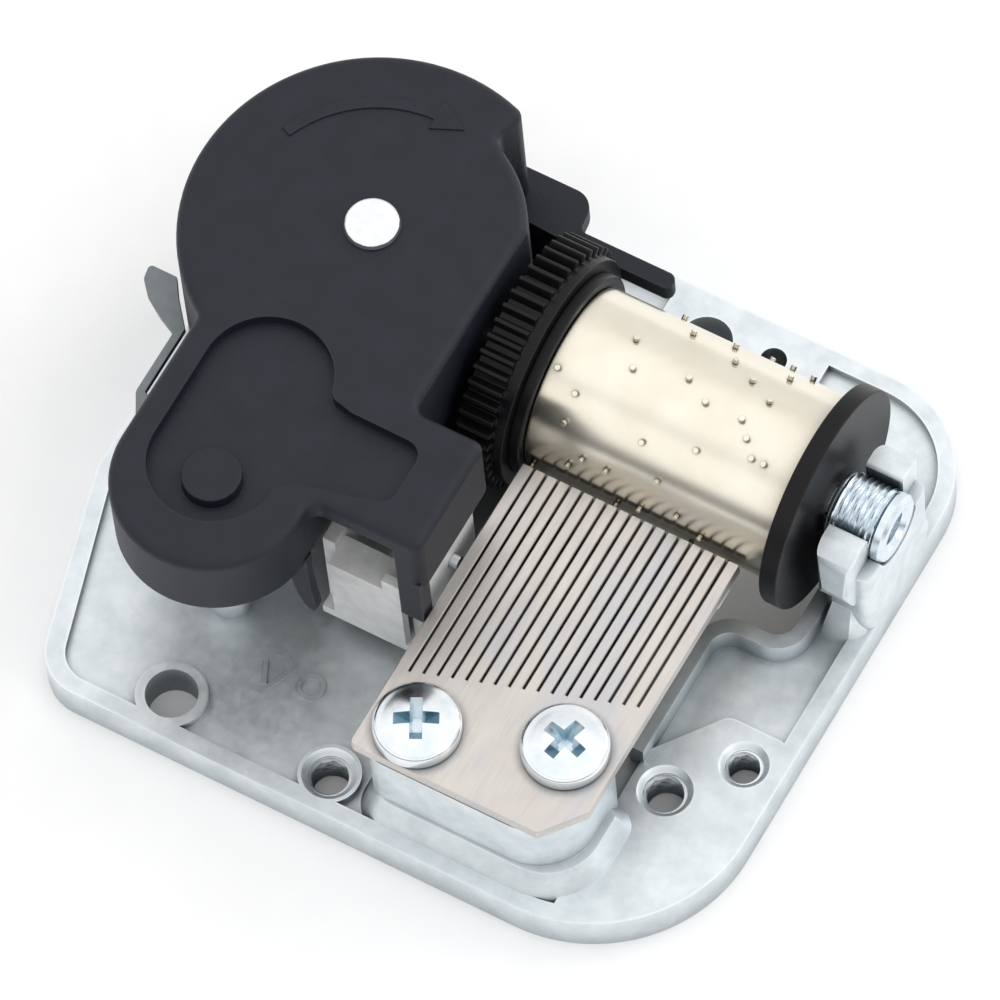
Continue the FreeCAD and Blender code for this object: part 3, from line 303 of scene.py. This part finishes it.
def skin(rings):
    """Quads between successive rings of points, joined round."""
    form = bmesh.new()
    rows = [[form.verts.new(point) for point in ring] for ring in rings]
    for low, high in zip(rows, rows[1:]):
        for step in range(len(low)):
            after = (step + 1) % len(low)
            form.faces.new((low[step], low[after], high[after], high[step]))
    bmesh.ops.remove_doubles(form, verts=form.verts, dist=1e-8)
    bmesh.ops.recalc_face_normals(form, faces=form.faces)
    return form


def join_forms(name, forms, material, angle=32):
    """One piece from several forms."""
    whole = bmesh.new()
    for form in forms:
        part = bpy.data.meshes.new("part")
        form.to_mesh(part)
        whole.from_mesh(part)
        form.free()
        bpy.data.meshes.remove(part)
    mesh = bpy.data.meshes.new(name)
    whole.to_mesh(mesh)
    whole.free()
    smooth(mesh, angle)
    return add_piece(name, mesh, material)


def tapped_liner(mount, pitch=0.5, depth=0.24, around=48, fine=0.06):
    """Thread of one tapped fixing hole, seated in the wall of its bore."""
    x, y = mount["pos_m"][:2]
    bore = mount["dims"]["r_mm"]
    low, high = 0.15, mount["dims"]["length_mm"] - 0.05

    def ring(height, radius):
        return [Vector((x, y, 0)) + MM * Vector((radius(a) * math.cos(a), radius(a) * math.sin(a), height))
                for a in (2 * math.pi * step / around for step in range(around))]

    rings = [ring(low, lambda a: bore + 0.04)]
    for step in range(int((high - low) / fine) + 1):
        height = low + step * fine
        rings.append(ring(height, lambda a: bore + 0.01 - depth * abs(
            1 - 2 * ((height / pitch - a / (2 * math.pi)) % 1.0))))
    rings.append(ring(high, lambda a: bore + 0.04))
    return skin(rings + rings[:1])


def cast_marks(height=0.12, around=36):
    """Small raised tool marks on the floor in front of the governor: a ring and two bars."""
    floor, sunk = 2.4, -0.05
    ring_x, ring_y, outer, inner = 7.6, -23.6, 0.95, 0.66
    bar_y, bar_width, bar_length = -24.0, 0.3, 1.7
    ring = []
    for radius, up in ((outer, sunk), (outer, height), (inner, height), (inner, sunk)):
        ring.append([MM * Vector((ring_x + radius * math.cos(a), ring_y + radius * math.sin(a), floor + up))
                     for a in (2 * math.pi * step / around for step in range(around))])
    forms = [skin(ring + ring[:1])]
    for x, turn in ((4.4, 25), (5.5, -25)):
        bar = bmesh.new()
        bmesh.ops.create_cube(bar, size=1)
        spot = (Matrix.Translation(Vector((x, bar_y, floor)) * MM)
                @ Matrix.Rotation(math.radians(turn), 4, "Z"))
        size = Matrix.Diagonal((bar_width * MM, bar_length * MM, 2 * height * MM, 1))
        bmesh.ops.transform(bar, verts=bar.verts, matrix=spot @ size)
        forms.append(bar)
    return forms


def worked_plate():
    softened("bedplate", "bedplate_casting", cast_zinc, 0.16)
    tapped = [mount for mount in record["mounts"] if mount["kind"] == "threaded_hole"
              and mount["name"].startswith("fixing")]
    details = join_forms("tapped_threads", [tapped_liner(mount) for mount in tapped] + cast_marks(),
                         cast_zinc)
    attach(details, body_of["bedplate"])


cast_zinc = zinc_finish()
worked_plate()


# ---------------------------------------------------------------- drive housing
# Matt black glass-filled moulding: spring drum, governor hood and rear shelf in one piece,
# with a fine sparked texture and glossier rounded edges.
def case_finish():
    case = Finish("matt_case", Specular_IOR_Level=0.42)
    spark = case.node("TexVoronoi", {"feature": "SMOOTH_F1"}, {"Vector": case.place, "Scale": 9.0})
    fine = case.noise(16.0, 3)
    cloud = case.spread(case.noise(0.5, 3), 0.3, 0.7)
    edge_wear_and_sheen = case.edges(0.35, 5.0)
    fleck = case.spread(case.noise(11.0, 2), 0.66, 0.78)
    colour = case.blend(cloud, (0.0040, 0.0058, 0.0122, 1), (0.0068, 0.0094, 0.0186, 1))
    colour = case.blend(fleck * 0.32, colour, (0.06, 0.066, 0.085, 1))
    return case.feed(Base_Color=colour, Roughness=0.46 + fine * 0.16 - edge_wear_and_sheen * 0.16,
                     Normal=case.bump(spark * 0.8 + fine * 0.6, 0.55, 0.035))


def winding_arrow(name, inner=8.6, outer=9.4, start=158, stop=92, raised=0.14):
    """Raised curved arrow that shows which way to wind."""
    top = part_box("drive_housing")[1].z / MM
    middle = (inner + outer) / 2
    bow = [math.radians(start + (stop - start) * step / 30) for step in range(31)]
    edge = [(outer, a) for a in bow] + [(outer + 0.75, bow[-1]), (middle, bow[-1] - 0.24),
                                        (inner - 0.75, bow[-1])] + [(inner, a) for a in reversed(bow)]
    rings = [[MM * Vector((radius * math.cos(a), radius * math.sin(a), top + up)) for radius, a in edge]
             for up in (-0.1, raised)]
    form = skin(rings)
    cap = [vert for vert in form.verts if vert.co.z > (top + raised / 2) * MM]
    lid = bmesh.ops.holes_fill(form, edges=[line for line in form.edges
                                            if all(vert in cap for vert in line.verts)])
    bmesh.ops.triangulate(form, faces=lid["faces"])
    arrow = join_forms(name, [form], matt_case)
    soften = arrow.modifiers.new("soft_edges", "BEVEL")
    soften.width = 0.06 * MM
    soften.segments = 2
    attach(arrow, body_of["drive_housing"])


matt_case = case_finish()
softened("drive_housing", "spring_housing", matt_case, 0.12)
winding_arrow("winding_arrow")
softened("spindle_bearing_plug", "bearing_plug", matt_case, 0.16, 3)


# ---------------------------------------------------------------- winding arbor
# Turned steel arbor, riveted over through the housing's roof with a bright flat head.
def steel_finish(name, colour, roughness):
    steel = Finish(name, Metallic=1.0)
    turned = steel.noise(2.5, 3)
    cloud = steel.spread(steel.noise(1.2, 2), 0.3, 0.7)
    pale = tuple(min(1.0, c * 1.12) for c in colour)
    return steel.feed(Base_Color=steel.blend(cloud, (*colour, 1), (*pale, 1)),
                      Roughness=roughness + turned * 0.12, Normal=steel.bump(turned, 0.06, 0.02))


bright_steel = steel_finish("bright_steel", (0.78, 0.80, 0.83), 0.16)
softened("winding_arbor", "winding_arbor_turned", bright_steel, 0.18, 4)


# ---------------------------------------------------------------- spring and clutch
# Blued strip, cover, ratchet and click washer inside the drum, and the moulded great wheel.
def moulded_gear_finish():
    gear = Finish("black_acetal", Specular_IOR_Level=0.22)
    fine = gear.noise(9.0, 4)
    edge_wear_and_sheen = gear.edges(0.12, 5.0)
    # Painted highlight: the rims of the black mouldings lighten toward grey.
    return gear.feed(Base_Color=gear.blend(edge_wear_and_sheen * 0.5, (0.0045, 0.0045, 0.0055, 1), (0.05, 0.05, 0.055, 1)),
                     Roughness=0.30 + fine * 0.16, Normal=gear.bump(fine, 0.15, 0.02))


spring_steel = steel_finish("spring_steel", (0.34, 0.36, 0.40), 0.28)
black_acetal = moulded_gear_finish()
for node in ("mainspring", "spring_cover", "ratchet_wheel", "click_spring", "crown_washer"):
    softened(node, node + "_strip", spring_steel, 0.03, 1)
softened("crown_wheel", "great_wheel", black_acetal, 0.05, 1)


# ---------------------------------------------------------------- pinned cylinder
# Nickel-gold plated brass sleeve between a toothed black flange and a black end disc, with a
# hardened pin for every note.
def sleeve_finish():
    gold = Finish("nickel_gold", Metallic=1.0)
    drawn = gold.noise(1.6, 3, (0.2, 1, 1))
    cloud = gold.spread(gold.noise(0.3, 2), 0.3, 0.7)
    speck = gold.spread(gold.noise(8.0, 2), 0.66, 0.76)
    colour = gold.blend(cloud, (0.82, 0.765, 0.640, 1), (0.88, 0.835, 0.725, 1))
    colour = gold.blend(speck * 0.25, colour, (0.42, 0.36, 0.26, 1))
    # Painted shade: the sleeve darkens toward dark brown beside the flange, the end disc and the pins.
    painted_shade = gold.painted_crevice_shade(5.0)
    colour = gold.blend(gold.spread(painted_shade, 0.90, 0.40) * 0.85, colour, (0.13, 0.115, 0.08, 1))
    return gold.feed(Base_Color=colour, Roughness=0.20 + drawn * 0.06, Normal=gold.bump(drawn, 0.03, 0.02))


nickel_gold = sleeve_finish()
softened("cylinder_sleeve", "pinned_sleeve", nickel_gold, 0.05, 1)
softened("cylinder_pins", "melody_pins", nickel_gold, 0.05, 2)
softened("cylinder_gear", "toothed_flange", black_acetal, 0.07, 2)
softened("cylinder_ring", "flange_ring", black_acetal, 0.12, 2)
softened("cylinder_end_disc", "end_disc", black_acetal, 0.12, 2)
softened("cylinder_shaft", "cylinder_axle", bright_steel, 0.1, 2)


# ---------------------------------------------------------------- bearing bush
# Zinc-plated steel bush with a fine thread, staked between the saddle's two ears.
def plated_finish():
    plate = Finish("zinc_plate", Metallic=1.0)
    cloud = plate.spread(plate.noise(0.6, 2), 0.3, 0.7)
    fine = plate.noise(3.0, 2)
    colour = plate.blend(cloud, (0.72, 0.80, 0.86, 1), (0.78, 0.86, 0.91, 1))
    # Painted shade: the thread grooves and the bore darken toward dark blue-grey.
    painted_shade = plate.painted_crevice_shade(0.4)
    colour = plate.blend(plate.spread(painted_shade, 0.80, 0.3) * 0.6, colour, (0.16, 0.22, 0.26, 1))
    return plate.feed(Base_Color=colour, Roughness=0.22 + fine * 0.10, Normal=plate.bump(fine, 0.04, 0.02))


def threaded_bush(pitch=0.42, depth=0.2, around=96, fine=0.045, bore=1.25):
    """Outer surface whose radius follows a helix, with a plain collar at the free end."""
    low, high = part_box("bearing_bush")
    length = (high.x - low.x) / MM
    radius = (high.z - low.z) / MM / 2
    axis = Vector((low.x, (low.y + high.y) / 2, (low.z + high.z) / 2))

    def ring(along, out):
        return [axis + MM * Vector((along, out(a) * math.cos(a), out(a) * math.sin(a)))
                for a in (2 * math.pi * step / around for step in range(around))]

    first, last = 0.2, length - 0.85
    rings = [ring(0.0, lambda a: bore), ring(0.0, lambda a: radius - depth - 0.12)]
    for step in range(int((last - first) / fine) + 1):
        along = first + step * fine
        rise = min(1.0, (along - first) / pitch)
        rings.append(ring(along, lambda a: radius - depth * (1 - rise * (1 - abs(
            2 * ((along / pitch + a / (2 * math.pi)) % 1.0) - 1)))))
    rings += [ring(last + 0.05, lambda a: radius - depth), ring(last + 0.14, lambda a: radius - 0.04),
              ring(length - 0.22, lambda a: radius - 0.04), ring(length, lambda a: radius - 0.26),
              ring(length, lambda a: bore + 0.3), ring(length - 0.35, lambda a: bore)]
    piece = join_forms("threaded_bush", [skin(rings + rings[:1])], zinc_plate, 24)
    stand_for(piece, "bearing_bush")


zinc_plate = plated_finish()
threaded_bush()


# ---------------------------------------------------------------- comb
# Ground steel comb, slit into tuned teeth, with lead weights and soft vanes beneath.
def comb_finish():
    comb = Finish("ground_steel", Metallic=1.0)
    streak = comb.noise(2.6, 6, (2.4, 0.16, 1))
    warm = comb.spread(comb.noise(0.22, 3, (1, 0.6, 1), 0.6), 0.38, 0.62)
    fine = comb.noise(9.0, 4)
    colour = comb.tint(warm, (0.0, (0.60, 0.59, 0.60)), (0.5, (0.66, 0.62, 0.58)), (1.0, (0.70, 0.66, 0.63)))
    colour = comb.blend(comb.spread(streak, 0.45, 0.8) * 0.35, colour, (0.52, 0.49, 0.48, 1))
    # Painted shade: the slots between the teeth and the faces under the comb darken to near black.
    painted_shade = comb.painted_crevice_shade(0.6)
    colour = comb.blend(1 - painted_shade, colour, (0.03, 0.03, 0.03, 1))
    return comb.feed(Base_Color=colour, Roughness=0.30 + streak * 0.18 + fine * 0.06,
                     Normal=comb.bump(streak + fine * 0.5, 0.18, 0.02))


softened("comb", "tuned_comb", comb_finish(), 0.06, 1)
softened("comb_weights", "lead_weights", steel_finish("lead", (0.16, 0.16, 0.18), 0.5), 0.08, 1)


# ---------------------------------------------------------------- comb screws
# Two bright zinc-plated pan-head machine screws with a cross recess, driven through the comb
# into its foot.
def lathe(profile, around=96, centre=(0, 0, 0)):
    """Turn (radius, height) points in millimetres about +Z; a radius of 0 closes an end."""
    form = bmesh.new()
    rings = []
    for radius, height in profile:
        here = Vector(centre) + Vector((0, 0, height))
        if radius == 0:
            rings.append([form.verts.new(here * MM)])
            continue
        rings.append([form.verts.new((here + Vector((radius * math.cos(a), radius * math.sin(a), 0))) * MM)
                      for a in (2 * math.pi * step / around for step in range(around))])
    for low, high in zip(rings, rings[1:]):
        for step in range(around):
            after = (step + 1) % around
            if len(low) == 1:
                form.faces.new((low[0], high[step], high[after]))
            elif len(high) == 1:
                form.faces.new((low[after], low[step], high[0]))
            else:
                form.faces.new((low[step], low[after], high[after], high[step]))
    bmesh.ops.recalc_face_normals(form, faces=form.faces)
    return form


def carve(form, cutter):
    """Cut one closed form out of another."""
    pair = []
    for label, shape in (("blank", form), ("cutter", cutter)):
        mesh = bpy.data.meshes.new(label)
        shape.to_mesh(mesh)
        shape.free()
        pair.append(bpy.data.objects.new(label, mesh))
        bpy.context.collection.objects.link(pair[-1])
    cut = pair[0].modifiers.new("cut", "BOOLEAN")
    cut.operation = "DIFFERENCE"
    cut.solver = "EXACT"
    cut.object = pair[1]
    graph = bpy.context.evaluated_depsgraph_get()
    result = bmesh.new()
    result.from_mesh(pair[0].evaluated_get(graph).to_mesh())
    for item in pair:
        bpy.data.objects.remove(item)
    return result


def cross_recess(top, turn, reach=1.75, wing=0.44, depth=1.3):
    """Four tapering wings that meet in a point."""
    form = bmesh.new()
    levels = []
    for level, scale in ((top + 0.4, 1.12), (top - depth * 0.55, 0.62), (top - depth, 0.28)):
        ring = []
        for quarter in range(4):
            for across, along in ((-wing, wing), (-wing, reach), (wing, reach)):
                wide = across * (0.55 + 0.45 * scale)
                far = wing * (0.55 + 0.45 * scale) if along == wing else along * scale
                point = Vector((far, wide, level))
                point.rotate(Matrix.Rotation(math.pi / 2 * quarter + turn, 3, "Z"))
                ring.append(form.verts.new(point * MM))
        levels.append(ring)
    for low, high in zip(levels, levels[1:]):
        for step in range(12):
            form.faces.new((low[step], low[(step + 1) % 12], high[(step + 1) % 12], high[step]))
    form.faces.new(levels[0])
    form.faces.new(levels[-1][::-1])
    bmesh.ops.recalc_face_normals(form, faces=form.faces)
    return form


def pan_head(radius, height):
    """Flank, quarter-round shoulder and a low dome."""
    flank, shoulder = height * 0.45, 0.45
    profile = [(0, 0), (radius - 0.12, 0), (radius, 0.12), (radius, flank)]
    for step in range(1, 7):
        angle = math.pi / 2 * step / 6
        profile.append((radius - shoulder + shoulder * math.cos(angle), flank + shoulder * math.sin(angle)))
    rim, base = profile[-1]
    profile += [(rim * (1 - step / 8), base + (height - base) * math.sin(math.pi / 2 * step / 8))
                for step in range(1, 9)]
    return profile


def screw_finish():
    screw = Finish("blue_zinc_plate", Metallic=1.0)
    cloud = screw.spread(screw.noise(0.8, 3), 0.3, 0.7)
    fine = screw.noise(3.0, 2)
    # Painted shade: the cross recess and the edge under the head darken toward dark blue.
    painted_shade = screw.painted_crevice_shade(0.9)
    colour = screw.blend(cloud, (0.74, 0.80, 0.84, 1), (0.88, 0.91, 0.93, 1))
    colour = screw.blend(0.9 - painted_shade * 0.9, colour, (0.20, 0.40, 0.50, 1))
    return screw.feed(Base_Color=colour, Roughness=0.14 + fine * 0.12, Normal=screw.bump(fine, 0.05, 0.02))


def comb_screws():
    head_radius, shank_radius, head_height, sunk = 2.9, 1.4, 1.7, 5.6
    low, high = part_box("comb_screws")
    top = high.z / MM
    seats = [(low.x / MM + head_radius, low.y / MM + head_radius, math.radians(28)),
             (high.x / MM - head_radius, high.y / MM - head_radius, math.radians(-14))]
    forms = []
    for x, y, turn in seats:
        seat = top - head_height
        head = carve(lathe(pan_head(head_radius, head_height), centre=(0, 0, seat)), cross_recess(top, turn))
        stem = lathe([(0, seat - sunk), (shank_radius - 0.3, seat - sunk), (shank_radius, seat - sunk + 0.3),
                      (shank_radius, seat + 0.05), (0, seat + 0.05)], 48)
        for form in (head, stem):
            bmesh.ops.translate(form, verts=form.verts, vec=Vector((x, y, 0)) * MM)
        forms += [head, stem]
    piece = stand_for(join_forms("comb_screw_pair", forms, screw_finish()), "comb_screws")
    soften = piece.modifiers.new("soft_edges", "BEVEL")
    soften.width = 0.05 * MM
    soften.segments = 2
    soften.angle_limit = math.radians(40)
    soften.harden_normals = True


comb_screws()


# ---------------------------------------------------------------- governor
# White nylon pinion and wheels on steel axles, and the black two-winged air brake.
def nylon_finish():
    nylon = Finish("natural_nylon", Subsurface_Weight=0.15, Subsurface_Scale=0.0006)
    cloud = nylon.noise(0.8, 3)
    fine = nylon.noise(8.0, 4)
    return nylon.feed(Base_Color=nylon.tint(cloud, (0.3, (0.66, 0.67, 0.67)), (0.7, (0.80, 0.81, 0.80))),
                      Roughness=0.34 + fine * 0.14, Normal=nylon.bump(fine, 0.12, 0.02))


natural_nylon = nylon_finish()
for node in ("idler_pinion", "governor_wheel", "worm_wheel", "governor_bracket", "comb_dampers"):
    softened(node, node + "_moulding", natural_nylon, 0.05, 1)
for node in ("idler_axle", "governor_axle", "worm_spindle"):
    softened(node, node + "_turned", bright_steel, 0.05, 1)
for node in ("governor_fan", "brake_disc"):
    softened(node, node + "_moulding", black_acetal, 0.05, 1)


# ---------------------------------------------------------------- stop lever and screws
# Grey sheet-steel lever on its shouldered post, and the screws under the bedplate.
grey_sheet = steel_finish("grey_sheet", (0.20, 0.22, 0.23), 0.42)
softened("stop_lever", "stop_lever_sheet", grey_sheet, 0.08, 2)
softened("stop_lever_post", "lever_post", zinc_plate, 0.1, 2)
softened("housing_screws", "housing_screw_set", zinc_plate, 0.1, 2)
